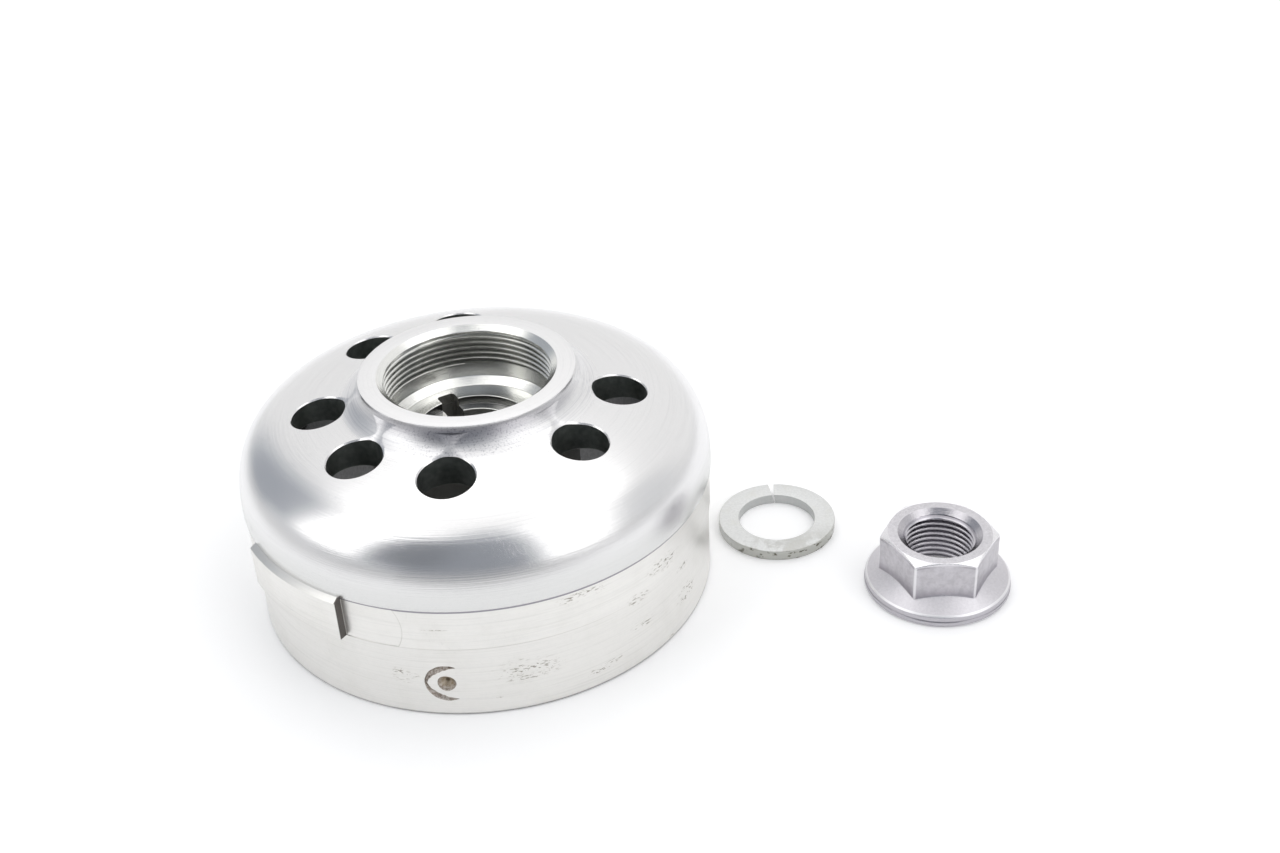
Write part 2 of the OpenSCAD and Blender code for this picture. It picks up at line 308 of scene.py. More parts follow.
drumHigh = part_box("rotor_shell")[1]
collarTop, shoulder = drumHigh.z / mm, drumHigh.x / mm
rim = shoulder - 0.6  # the shoulder stands out over the rim by this much
thread = mounts["puller_thread"]
seat = mounts["washer_seat"]["pos_m"][2] / mm
drum = dict(
    columns=480,
    rim=rim, band=rim + 0.3, shoulder=shoulder,          # outer radii
    bandFoot=12.9, stepRise=0.3, seam=20.6, foot=21.65,  # heights on the wall
    dome=(24.2, collarTop - 4.5), slope=8.3,             # where the dome ends, at the vents
    lead=0.527, drop=0.797,                              # fullness of the dome's curve
    collar=17.45, hollow=5.0, lip=0.4, collarEdge=0.12,
    crest=thread["dims"]["r_mm"], pitch=1.0,
    threadTop=collarTop - 0.85, threadFoot=thread["pos_m"][2] / mm - 2.8,
    mouth=14.5, relief=14.1, seat=seat, edgeHeight=1.1, edgeWidth=1.5,
    counterbore=9.2, ledge=seat - 1.5, taperTop=7.45, taperFoot=10.13,
    hub=17.0, web=30.2, bore=33.5, step=32.3, stepHeight=28.0,
    grooveDepth=0.8, groove=(2.0, 3.6), edge=0.5,
)
tooth = dict(start=-158.0, end=-126.3, height=1.6, top=20.0, ends=(0.0, 0.05, 0.2, 0.45))
vents = dict(middle=-139.8, steps=(0, 38, 90.5, 129, -38, -90.5, -129), radius=4.4,
             sink=35.3, edge=0.2, under=0.25)
mark = dict(angle=-103.1, height=6.35, point=1.45, outer=3.44, thin=0.46, wide=1.12, gap=62.0)
patch = dict(angle=-121.2, height=16.5, radius=6.4, depth=0.06)


def domeLine():
    d = drum
    x1, z1 = d["dome"]
    x0, z0 = d["shoulder"], d["foot"]
    run, up = x0 - x1, z1 - z0
    lean = math.radians(d["slope"])
    pull = d["lead"] * run
    points = [Vector(p) for p in ((x0, z0), (x0, z0 + d["drop"] * up),
                                  (x1 + pull * math.cos(lean), z1 - pull * math.sin(lean)), (x1, z1))]
    line = []
    steps = 44
    for k in range(steps + 1):
        t = k / steps
        s = 1 - t
        shares = (s ** 3, 3 * s * s * t, 3 * s * t * t, t ** 3)
        line.append(tuple(sum((share * point for share, point in zip(shares, points)), Vector((0, 0)))))
    # the hollow: tangent to the dome's cone, and it ends at the collar's lip
    r = d["hollow"]
    lip = collarTop - d["lip"]
    sine = math.cos(lean) * ((z1 - lip) / r + math.cos(lean)
                             + ((x1 - d["collar"]) / r + math.sin(lean)) * math.tan(lean))
    wallLean = math.asin(sine) - lean
    hx = d["collar"] + r * math.cos(wallLean)
    hz = lip + r * math.sin(wallLean)
    curve = arc(hx, hz, r, 270 - d["slope"], 180 + math.degrees(wallLean), 24)
    for k in range(1, 4):  # cone between the vents' circle and the hollow
        t = k / 4
        line.append((x1 + (curve[0][0] - x1) * t, z1 + (curve[0][1] - z1) * t))
    return line + curve


domeRows = domeLine()


def domeHeight(radius):
    for (ra, za), (rb, zb) in zip(domeRows, domeRows[1:]):
        if rb <= radius <= ra and ra > rb:
            return za + (zb - za) * (ra - radius) / (ra - rb)
    return domeRows[-1][1]


def recessLimit(z):
    d = drum
    if z >= d["threadTop"]:
        share = (z - d["threadTop"]) / (collarTop - d["threadTop"])
        return d["crest"] + share * (d["mouth"] - d["crest"])
    return d["relief"] if z <= d["threadFoot"] else 0.0


drumThread = dict(steps=16, pitch=drum["pitch"], bottom=drum["threadFoot"], top=collarTop,
                  crest=drum["crest"], limit=recessLimit, fade=collarTop - 1.3)
inside = rounded([
    (drum["relief"], drum["threadFoot"], 0), (drum["relief"], drum["seat"] + drum["edgeHeight"], 0.3),
    (drum["relief"] - drum["edgeWidth"], drum["seat"], 0.35), (drum["counterbore"], drum["seat"], 0.15),
    (drum["counterbore"], drum["ledge"], 0.2), (drum["taperTop"], drum["ledge"], 0.15),
    (drum["taperFoot"], 0, 0.3), (drum["hub"], 0, 0.4), (drum["hub"], drum["web"], 2.0),
    (drum["step"], drum["web"], 2.0), (drum["step"], drum["stepHeight"], 0.1),
    (drum["bore"], drum["stepHeight"], 0.1), (drum["bore"], drum["groove"][1], 0.05),
    (drum["bore"] + drum["grooveDepth"], drum["groove"][1], 0.1),
    (drum["bore"] + drum["grooveDepth"], drum["groove"][0], 0.1),
    (drum["bore"], drum["groove"][0], 0.05), (drum["bore"], 0, 0.4),
    (drum["rim"], 0, 0.5), (drum["rim"], 1, 0)], steps=4)[1:-1]


def toothShare(angle):
    # 1 on the tooth, 0 off it, with slightly eased ends
    inwards = min(angle - math.radians(tooth["start"]), math.radians(tooth["end"]) - angle)
    way = math.degrees(inwards)
    if way <= 1e-6:
        return 0.0
    ease = tooth["ends"][-1]
    return 1.0 if way >= ease else 0.86 + 0.14 * math.sqrt(1 - (1 - way / ease) ** 2)


def drumRows(angle):
    d = drum
    share = toothShare(angle)
    wall = d["band"] + (d["rim"] + tooth["height"] - d["band"]) * share
    top = d["seam"] - (d["seam"] - tooth["top"]) * share
    ledge = d["band"] + (d["shoulder"] - d["band"]) * share
    bandEdge = d["bandFoot"] + d["stepRise"]
    outside = rounded([
        (d["rim"], 1, 0), (d["rim"], d["bandFoot"], 0.05), (d["band"], bandEdge, 0.03),
        (wall, bandEdge, 0.12), (wall, top, 0.12), (ledge, d["seam"], 0.02),
        (d["shoulder"], d["seam"], 0.07), (d["shoulder"], d["foot"], 0)], steps=2)
    collar = rounded([(*domeRows[-1], 0), (d["collar"], collarTop, d["collarEdge"]),
                      (d["mouth"] + 0.06, collarTop, 0)], steps=3)
    return outside + domeRows[1:-1] + collar + threadRows(angle, drumThread) + inside


threadStart = len(drumRows(0)) - len(inside) - len(threadRows(0, drumThread))
threadEnd = len(drumRows(0)) - len(inside)


def drumMeets(row):
    # the thread's rows climb one pitch in a turn
    if threadStart <= row < threadEnd:
        return max(row - drumThread["steps"], threadStart)
    return row


def onWall(across, up, out, at, height):
    # a point beside a spot on the rim: millimetres round the wall, up it and out of it
    turn = math.radians(at) + across / drum["rim"]
    radius = drum["rim"] + out
    return Vector((radius * math.cos(turn), radius * math.sin(turn), height + up)) * mm


def closedStrip(mesh, rings, material):
    # rings of equal length joined into a tube, each end closed by a fan
    made = [[mesh.verts.new(p) for p in ring] for ring in rings]
    for this, after in zip(made, made[1:]):
        for k in range(len(this)):
            n = (k + 1) % len(this)
            mesh.faces.new((this[k], after[k], after[n], this[n])).material_index = material
    for ring in (made[0], made[-1]):
        hub = mesh.verts.new(sum((v.co for v in ring), Vector()) / len(ring))
        for k in range(len(ring)):
            mesh.faces.new((ring[k], ring[(k + 1) % len(ring)], hub)).material_index = material


def cutVents(mesh):
    v = vents
    radius, under, high = v["radius"], drum["web"], collarTop - 1.0
    for step in v["steps"]:
        turn = math.radians(v["middle"] + step)
        x, y = drum["dome"][0] * math.cos(turn), drum["dome"][0] * math.sin(turn)

        def rows(angle):
            # the bevel follows the dome, and a flat sink cuts deeper towards the collar
            away = math.hypot(x + radius * math.cos(angle), y + radius * math.sin(angle))
            start = min(domeHeight(away) - v["edge"], v["sink"])
            return [(0, under - 1), (radius + v["under"] + 1, under - 1), (radius, under + v["under"]),
                    (radius, start), (radius + v["edge"] + 0.5, start + v["edge"] + 0.5),
                    (radius + high - start, high), (0, high)]

        spun(mesh, evenly(128), rows, (x, y), material=(1, 1, 1, 0, 0, 0, 1))


def cutKeyway(mesh):
    reach, half, corner = 11.2, 1.5, 0.4
    turn = Matrix.Rotation(math.radians(112.0), 4, "Z")
    outline = [(0, -half), (reach - corner, -half), (reach, -half + corner), (reach, half - corner),
               (reach - corner, half), (0, half)]
    rings = [[turn @ (Vector((x, y, z)) * mm) for x, y in outline] for z in (-1, drum["seat"] + 0.02)]
    closedStrip(mesh, rings, 0)


def cutMark(mesh):
    m = mark
    # punched point
    steps = 32
    rings = []
    for size, out in ((m["point"] + 0.15, 0.6), (m["point"], 0.0), (m["point"] * 0.86, -0.3),
                      (m["point"] * 0.5, -0.72), (m["point"] * 0.16, -1.02)):
        ring = []
        for k in range(steps):
            t = 2 * math.pi * k / steps
            wobble = 1 + 0.03 * math.sin(3 * t + 0.8)
            ring.append(onWall(size * wobble * math.cos(t), size * wobble * math.sin(t), out,
                               m["angle"], m["height"]))
        rings.append(ring)
    closedStrip(mesh, rings, 2)
    # curved line, widest before its two ends and open on one side
    rings = []
    count = 60
    for k in range(count + 1):
        s = 2 * k / count - 1  # -1 at one end, 1 at the other
        t = math.pi + s * (math.pi - math.radians(m["gap"]))
        width = m["thin"] + (m["wide"] - m["thin"]) * math.sin(math.pi * min(1, abs(s) / 0.98)) ** 1.3
        if abs(s) > 0.5:
            width = m["wide"] * max(0.04, 1 - ((abs(s) - 0.5) / 0.5) ** 2.2)
        width *= 1 + 0.04 * math.sin(17 * t)
        outer = m["outer"] * (1 + 0.006 * math.sin(11 * t))
        middle = outer - width / 2
        depth = min(0.32, 0.1 + 0.55 * width)
        ring = []
        for across, out in ((0.62, 0.25), (0.5, 0.02), (0.1, -depth), (-0.15, -depth), (-0.5, 0.02),
                            (-0.62, 0.25)):
            r = middle + across * width
            ring.append(onWall(r * math.cos(t), r * math.sin(t), out, m["angle"], m["height"]))
        rings.append(ring)
    closedStrip(mesh, rings, 2)


def slab(mesh, floor, roof, material):
    # closed block between two grids of points of the same size
    low = [[mesh.verts.new(p) for p in row] for row in floor]
    high = [[mesh.verts.new(p) for p in row] for row in roof]
    rows, wide = len(low), len(low[0])
    for grid in (low, high):
        for i in range(rows - 1):
            for k in range(wide - 1):
                corners = (grid[i][k], grid[i][k + 1], grid[i + 1][k + 1], grid[i + 1][k])
                mesh.faces.new(corners).material_index = material
    rim = [(0, k) for k in range(wide - 1)] + [(i, wide - 1) for i in range(rows - 1)]
    rim += [(rows - 1, k) for k in range(wide - 1, 0, -1)] + [(i, 0) for i in range(rows - 1, 0, -1)]
    for (i, k), (j, m) in zip(rim, rim[1:] + rim[:1]):
        mesh.faces.new((low[i][k], high[i][k], high[j][m], low[j][m])).material_index = material


def cutPatch(mesh):
    # shallow flat that the milling cutter left where the tooth ends
    p = patch
    start = math.radians(tooth["end"] + 0.04)
    low, high = drum["bandFoot"] + 0.34, drum["seam"] - 0.04
    spans, rows = 16, 24

    def grid(out):
        radius = drum["rim"] + out
        points = []
        for i in range(rows + 1):
            z = low + (high - low) * i / rows
            bulge = math.sqrt(max(p["radius"] ** 2 - (z - p["height"]) ** 2, 0.0))
            sweep = math.radians(p["angle"]) + bulge / drum["band"] - start
            turns = [start + sweep * k / spans for k in range(spans + 1)]
            points.append([Vector((radius * math.cos(t), radius * math.sin(t), z)) * mm for t in turns])
        return points

    slab(mesh, grid(0.3 - p["depth"]), grid(1.2), 0)


def drumPiece(materials):
    angles = [math.radians(a) for a in (tooth["start"], tooth["end"])]
    inner = [angles[0] + math.radians(e) for e in tooth["ends"][1:]]
    inner += [angles[1] - math.radians(e) for e in tooth["ends"][1:]]
    mesh = bmesh.new()
    spun(mesh, evenly(drum["columns"], angles + inner), drumRows, meets=drumMeets)
    piece = finished("rotor_body", mesh, materials, "rotor", "rotor_shell")
    cutters = bmesh.new()
    for cut in (cutVents, cutKeyway, cutMark, cutPatch):
        cut(cutters)
    carve(piece, cutters)
    print("drum:", len(piece.data.polygons), "faces")
    return piece


washerLow, washerHigh = (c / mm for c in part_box("lock_washer"))
lockWasher = dict(
    place=mounts["washer_hole"]["pos_m"], hole=mounts["washer_hole"]["dims"]["r_mm"],
    outer=(washerHigh.x - washerLow.x) / 2, thick=washerHigh.z - washerLow.z,
    gap=(0.25, 1.0), lean=10.0, split=81.0, edge=0.16, steps=200,  # the split widens outwards
)


def washerPiece(material):
    w = lockWasher
    low, high = 0.0, w["thick"]
    ring = rounded([
        (w["hole"], high / 2, 0), (w["hole"], low, w["edge"]), (w["outer"], low, w["edge"]),
        (w["outer"], high / 2, 0), (w["outer"], high, w["edge"]), (w["hole"], high, w["edge"]),
        (w["hole"], high / 2, 0)], steps=4)[:-1]
    mesh = bmesh.new()
    rings = []
    for k in range(w["steps"] + 1):
        share = k / w["steps"]
        points = []
        for radius, z in ring:
            lean = (z - high / 2) * math.tan(math.radians(w["lean"]))
            outwards = (radius - w["hole"]) / (w["outer"] - w["hole"])
            gap = w["gap"][0] + (w["gap"][1] - w["gap"][0]) * outwards
            first = math.radians(w["split"]) + (gap * 0.75 + lean) / radius
            last = math.radians(w["split"] + 360) + (lean - gap * 0.25) / radius
            turn = first + (last - first) * share
            spot = Vector((radius * math.cos(turn), radius * math.sin(turn), z)) * mm
            points.append(spot + Vector((w["place"][0], w["place"][1], 0)))
        rings.append(points)
    closedStrip(mesh, rings, 0)
    piece = finished("split_washer", mesh, [material], "lock_washer", "lock_washer")
    print("washer:", len(piece.data.polygons), "faces")
    return piece


nutLow, nutHigh = (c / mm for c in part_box("flange_nut"))
nut = dict(
    place=[v / mm for v in mounts["nut_thread"]["pos_m"][:2]],
    crest=mounts["nut_thread"]["dims"]["r_mm"], pitch=1.0,
    height=nutHigh.z, flange=(nutHigh.x - nutLow.x) / 2, flat=8.5, turn=-10.7,
    edgeTop=2.1, rise=3.8, land=8.4, sink=6.9, sinkDepth=1.28, corner=0.55, columns=360,
)


def nutLimit(z):
    n = nut
    deep = min(z, n["height"] - z)
    return n["sink"] + (n["crest"] - n["sink"]) * min(deep / n["sinkDepth"], 1.0)


nutThread = dict(steps=16, pitch=nut["pitch"], bottom=0.0, top=nut["height"], crest=nut["crest"],
                 limit=nutLimit, fade=nut["height"])


def hexRadius(angle):
    # distance to a hexagon's side, its corners rounded
    n = nut
    way = (math.degrees(angle) - n["turn"] + 30) % 60 - 30  # from the nearest corner
    off = math.radians(30 - abs(way))
    plain = n["flat"] / math.cos(off)
    # circle of the corner's radius, tangent to both flats
    r = n["corner"]
    middle = (n["flat"] - r) / math.cos(math.radians(30))
    a = math.radians(way)
    if middle * math.sin(abs(a)) < r * math.sin(math.radians(30)) * 1.0001:
        under = r * r - (middle * math.sin(a)) ** 2
        return min(plain, middle * math.cos(a) + math.sqrt(max(under, 0.0)))
    return plain


chamfer = math.tan(math.radians(30))  # fall of the turned chamfer over the hexagon's corners


def nutRows(angle):
    n = nut
    side = hexRadius(angle)
    slope = (n["rise"] - n["edgeTop"]) / (n["flange"] - 0.4 - n["flat"])  # of the flange's cone
    foot = n["rise"] - (side - n["flat"]) * slope
    shoulderZ = n["height"] - (side - n["land"]) * chamfer
    f = n["flange"]
    outside = rounded([
        (n["sink"], 0, 0), (f - 0.35, 0, 0.1), (f, 0.35, 0.12), (f, 0.95, 0.05), (f - 0.13, 1.07, 0.03),
        (f - 0.05, 1.2, 0.05), (f - 0.12, n["edgeTop"] - 0.22, 0.2), (f - 0.4, n["edgeTop"], 0.25),
        (side, foot, 0.3), (side, shoulderZ, 0.2), (n["land"], n["height"], 0.25),
        (n["sink"], n["height"], 0)], steps=4)
    return outside[:-1] + threadRows(angle, nutThread)[:-1]


nutStart = len(nutRows(0)) - len(threadRows(0, nutThread)) + 1


def nutMeets(row):
    return max(row - nutThread["steps"], nutStart) if row >= nutStart else row


def nutPiece(material):
    n = nut
    corners = [math.radians(n["turn"] + 60 * k) for k in range(-3, 4)]
    corners = [math.atan2(math.sin(c), math.cos(c)) for c in corners]
    extra = sorted({round(c + math.radians(d), 6) for c in corners for d in (-2.2, -1.1, 0, 1.1, 2.2)})
    extra = [a for a in extra if -math.pi < a < math.pi]
    mesh = bmesh.new()
    spun(mesh, evenly(n["columns"], extra), nutRows, n["place"], meets=nutMeets)
    piece = finished("nut_body", mesh, [material], "flange_nut", "flange_nut")
    print("nut:", len(piece.data.polygons), "faces")
    return piece


wear = dict(
    # pitting on the rim: angle, height, half length and half height in millimetres, slope
    pits=((-84.0, 7.6, 6.4, 2.9, -0.05), (-113.2, 7.3, 3.1, 1.7, -0.1), (-53.6, 7.8, 3.2, 1.2, 0.0),
          (-55.0, 13.2, 3.0, 1.5, -0.1), (-46.0, 16.6, 5.2, 1.8, -0.1), (-38.0, 12.4, 4.0, 1.2, -0.1),
          (-70.0, 19.0, 5.0, 1.1, 0.0), (-66.0, 3.4, 4.5, 0.9, 0.12), (-36.0, 6.2, 4.0, 2.0, 0.0)),
    # thin dark marks, the same way
    lines=((-104.3, 16.9, 2.5, 0.13, 0.02), (-91.4, 3.1, 0.7, 0.16, 0.1), (-43.7, 0.7, 0.9, 0.25, 0.0)),
)


def patches(spot, group, soft):
    found = None
    for angle, height, length, tall, slope in wear[group]:
        along, up = fromSpot(spot, angle, height, drum["rim"])
        away = (along / length) ** 2 + ((up - along * slope) / tall) ** 2
        mask = away.rise(1.0, 1.0 - soft)
        found = mask if found is None else found.most(mask)
    return found


def turnedSteel():
    look = dict(
        dome=(0.815, 0.81, 0.812), wall=(0.81, 0.80, 0.775), recess=(0.84, 0.84, 0.815),
        # foot is the colour of a painted reflection, darker on the dome's lower part
        inner=(0.42, 0.42, 0.40), foot=(0.64, 0.645, 0.63),
        grit=(0.60, 0.61, 0.60), fine=(0.58, 0.58, 0.59), scratch=(0.55, 0.55, 0.56),
        streak=(0.55, 0.545, 0.51), cloud=(0.62, 0.61, 0.56), groove=(0.30, 0.32, 0.305),
        # shade is the colour of a painted shade and reflection in the hollow
        hollowLine=(0.50, 0.50, 0.53), speck=(0.30, 0.30, 0.33), shade=(0.26, 0.25, 0.285),
        stain=(0.30, 0.275, 0.23), step=(0.42, 0.41, 0.38), runOut=(0.45, 0.44, 0.40),
        # seam and base are colours of a painted shadow line and a painted contact shadow
        seam=(0.22, 0.21, 0.25), contactShadow=(0.17, 0.17, 0.17), toothEnd=(0.09, 0.08, 0.075),
        # colour of painted shade on the counterbore's wall
        pocket=(0.12, 0.12, 0.12),
        domeGloss=0.24, wallGloss=0.36, recessGloss=0.20, seamShadowTall=0.52,
        # middle gives the angles where the hollow's painted reflection is strongest
        paintedReflectionHeights=(26.5, 22.5), hollowRadii=(17.4, 20.8), hollowFoot=34.6, middle=(-122, -66))

    def build(wire):
        p = place(wire)
        z, radius, angle, solid = p["z"], p["radius"], p["angle"], p["solid"]
        band, seamHeight, bandFoot = drum["band"], drum["seam"], drum["bandFoot"]
        arcLength = angle * drum["rim"]
        # turning lines follow the section, and barely change round it
        lines = combine(wire, radius, z, angle * 0.25)
        fine = wire.noise(lines, 6.0, 3.0, 0.6)
        broad = wire.noise(lines, 0.8, 2.0, 0.5)
        grit = wire.noise(solid, 1.6, 4.0, 0.65)
        cloud = wire.noise(solid, 0.12, 3.0, 0.6)
        # where each finish is, and where a reflection and shade are painted
        wall = z.rise(seamHeight + 0.05, seamHeight - 0.05) * radius.rise(36.0, 37.0)
        # painted reflection: the dome is darker towards its foot, all round
        foot = z.rise(*look["paintedReflectionHeights"]) * (1.0 - wall)
        recess = radius.rise(14.6, 14.3) * z.rise(drum["ledge"] - 0.4, drum["ledge"] - 0.1)
        top = z.rise(collarTop - 0.1, collarTop - 0.02) * radius.rise(14.4, 14.6)
        under = radius.rise(35.0, 34.0) * z.rise(31.0, 30.4) * (1.0 - recess)
        hollow = radius.band(*look["hollowRadii"], 0.5) * z.rise(34.8, 35.6)
        groove = radius.rise(13.55, 13.95) * radius.rise(14.2, 14.08) * z.band(32.0, 37.9, 0.1)
        # painted shade: the counterbore's wall is darkened
        pocket = radius.band(drum["counterbore"] - 0.3, drum["counterbore"] + 0.04, 0.03) * recess
        pocket = pocket * z.rise(drum["seat"] - 0.05, drum["seat"] - 0.15)
        # marks on the wall
        speckle = wire.noise(combine(wire, arcLength * 0.45, z * 1.5, 0.0), 2.4, 3.0, 0.6)
        spread = wire.noise(combine(wire, arcLength * 0.25, z, 5.0), 1.1, 3.0, 0.6).rise(0.40, 0.58)
        pits = patches(p, "pits", 0.9) * speckle.rise(0.545, 0.59) * spread * wall
        marks = patches(p, "lines", 0.9) * speckle.rise(0.42, 0.55) * wall
        streak = wire.noise(combine(wire, arcLength * 0.05, z * 1.6, radius), 1.5, 4.0, 0.6)
        # painted shadows at the seam and the base, a dark line at the step, and the edge the milling
        # cutter left
        # painted shadow: a dark line under the shoulder's overhang
        seam = z.band(seamHeight - look["seamShadowTall"], seamHeight + 0.02, 0.05)
        seam = seam * radius.band(37.9, band + 0.12, 0.05)
        step = z.band(bandFoot, bandFoot + drum["stepRise"], 0.08) * wall
        # painted contact shadow round the drum's lowest edge
        contactShadow = z.rise(0.55, 0.15) * radius.rise(36.5, 37.2)
        across, up = fromSpot(p, patch["angle"], patch["height"], band)
        runOut = ((across * across + up * up).maths("SQRT") - patch["radius"]).maths("ABSOLUTE")
        runOut = runOut.rise(0.12, 0.03) * across.rise(4.0, 5.0) * z.band(13.2, 20.5, 0.1) * wall
        ends = [math.radians(tooth["end"] + more) for more in (-0.35, 0.2)]
        toothEnd = angle.band(*ends, 0.001) * radius.band(band - 0.02, band + 1.25, 0.03) * wall
        # painted shade and painted reflection: the hollow under the collar is darker and more specked on
        # its -Y side
        specks = wire.noise(solid, 3.4, 3.0, 0.7).rise(0.55, 0.61)
        middle = angle.band(*[math.radians(a) for a in look["middle"]], 0.22)
        shade = radius.rise(20.2, 18.0) * z.band(look["hollowFoot"], collarTop - 0.25, 0.1)
        shade = shade * p["y"].rise(-5.0, -14.0) * radius.rise(17.2, 17.4)
        shade = shade * (middle * 0.4 + radius.rise(18.9, 17.6) * 0.6)
        # fine scratches across the turning
        skew = combine(wire, p["x"] * 0.9 + p["y"] * 0.5, p["y"] * 0.07 - p["x"] * 0.05, z * 0.4)
        scratch = wire.noise(skew, 1.4, 2.0, 0.5).band(0.495, 0.505, 0.004) * cloud.rise(0.50, 0.60)
        colour = layered(wall.mix(look["dome"], look["wall"]), (
            (foot, 0.6, look["foot"]), (recess, 1.0, look["recess"]),
            (grit.rise(0.4, 0.8), 0.10, look["grit"]), (fine.rise(0.48, 0.66), 0.12, look["fine"]),
            (scratch, 0.2, look["scratch"]), (streak.rise(0.5, 0.7) * wall, 0.18, look["streak"]),
            (cloud.rise(0.45, 0.7) * wall, 0.15, look["cloud"]),
            (hollow * fine.rise(0.46, 0.60), 0.3, look["hollowLine"]),
            # grit specks, made darker on the -Y side as painted reflection
            (hollow * specks, 0.1 + middle * 0.4, look["speck"]),
            (shade, 0.65 + specks * 0.3, look["shade"]), (groove, 0.5, look["groove"]),
            (pits, 0.9, look["stain"]), (marks, 0.8, look["stain"]), (step, 0.6, look["step"]),
            (runOut, 0.4, look["runOut"]), (seam, 0.85, look["seam"]), (contactShadow, 0.85, look["contactShadow"]),
            (toothEnd, 0.95, look["toothEnd"]), (under, 1.0, look["inner"]),
            (pocket, 0.85, look["pocket"])))
        rough = look["domeGloss"] + wall * (look["wallGloss"] - look["domeGloss"])
        rough = rough + top * 0.18 + recess * (look["recessGloss"] - look["domeGloss"]) + under * 0.2
        rough = rough + (fine - 0.5) * 0.10 + (grit - 0.5) * 0.07 + pits * 0.25 + hollow * 0.12
        height = fine + broad * 0.4 + grit * 0.2 - pits * 0.5 - marks * 1.0 - scratch * 2.0
        height = height + hollow * (grit - 0.5) * 0.3
        return {"Base Color": colour, "Roughness": rough.most(0.08),
                "Normal": bump(wire, height, 0.10, 0.0002)}

    return principled("turned_steel", build)


def ventSteel():
    def build(wire):
        p = place(wire)
        grit = wire.noise(p["solid"], 1.2, 3.0, 0.5)
        colour = grit.rise(0.3, 0.7).mix((0.20, 0.22, 0.21), (0.27, 0.29, 0.275))
        return {"Base Color": colour, "Roughness": 0.40 + grit * 0.12,
                "Normal": bump(wire, grit, 0.08, 0.0003)}

    return principled("vent_steel", build)


def stainedSteel():
    look = dict(dark=(0.26, 0.215, 0.18), pale=(0.60, 0.56, 0.52), brown=(0.42, 0.33, 0.20),
                # colour of painted shade in the bottom of the punched point
                pitShade=(0.06, 0.045, 0.03))

    def build(wire):
        p = place(wire)
        grit = wire.noise(p["solid"], 2.6, 5.0, 0.7)
        across, up = fromSpot(p, mark["angle"], mark["height"], drum["rim"])
        away = (across * across + up * up).maths("SQRT")
        colour = layered(grit.rise(0.35, 0.65).mix(look["dark"], look["pale"]), (
            (away.rise(mark["point"], mark["point"] * 0.5), 0.5, look["brown"]),
            # painted shade at the bottom of the punched point
            (away.rise(0.5, 0.15), 0.8, look["pitShade"])))
        return {"Base Color": colour, "Roughness": 0.38 + grit * 0.2,
                "Normal": bump(wire, grit, 0.4, 0.0004)}

    return principled("stained_steel", build)


def washerZinc():
    look = dict(
        dark=(0.66, 0.665, 0.66), pale=(0.74, 0.745, 0.74), cloud=(0.66, 0.655, 0.62),
        # hole is the colour of painted shade on the hole's wall
        side=(0.48, 0.48, 0.44), hole=(0.42, 0.43, 0.42), lip=(0.25, 0.24, 0.20),
        spot=(0.12, 0.11, 0.08))

    def build(wire):
        p = place(wire, [v / mm for v in lockWasher["place"][:2]])
        z, radius = p["z"], p["radius"]
        grain = wire.noise(p["solid"], 2.2, 5.0, 0.65)
        cloud = wire.noise(p["solid"], 0.35, 3.0, 0.6)
        side = radius.rise(lockWasher["outer"] - 0.16, lockWasher["outer"] - 0.02)
        front = p["y"].rise(-3.0, -8.0)  # the stained half of its edge
        # painted shade: the wall of the hole is darker
        hole = radius.rise(lockWasher["hole"] + 0.16, lockWasher["hole"] + 0.04)
        lip = side.band(0.05, 0.6, 0.2) * z.rise(1.4, 1.6) * front
        spots = wire.noise(combine(wire, p["angle"] * 6.0, z * 1.2, 3.0), 1.0, 3.0, 0.6)
        spots = spots.rise(0.56, 0.64) * side * front
        colour = layered(grain.rise(0.3, 0.7).mix(look["dark"], look["pale"]), (
            (cloud.rise(0.5, 0.75), 0.35, look["cloud"]), (side, 0.35 + front * 0.4, look["side"]),
            (hole, 0.5, look["hole"]), (lip * cloud.rise(0.4, 0.55), 0.8, look["lip"]),
            (spots, 0.9, look["spot"])))
        return {"Base Color": colour, "Roughness": 0.48 + grain * 0.12,
                "Normal": bump(wire, grain, 0.12, 0.0003)}

    return principled("washer_zinc", build)


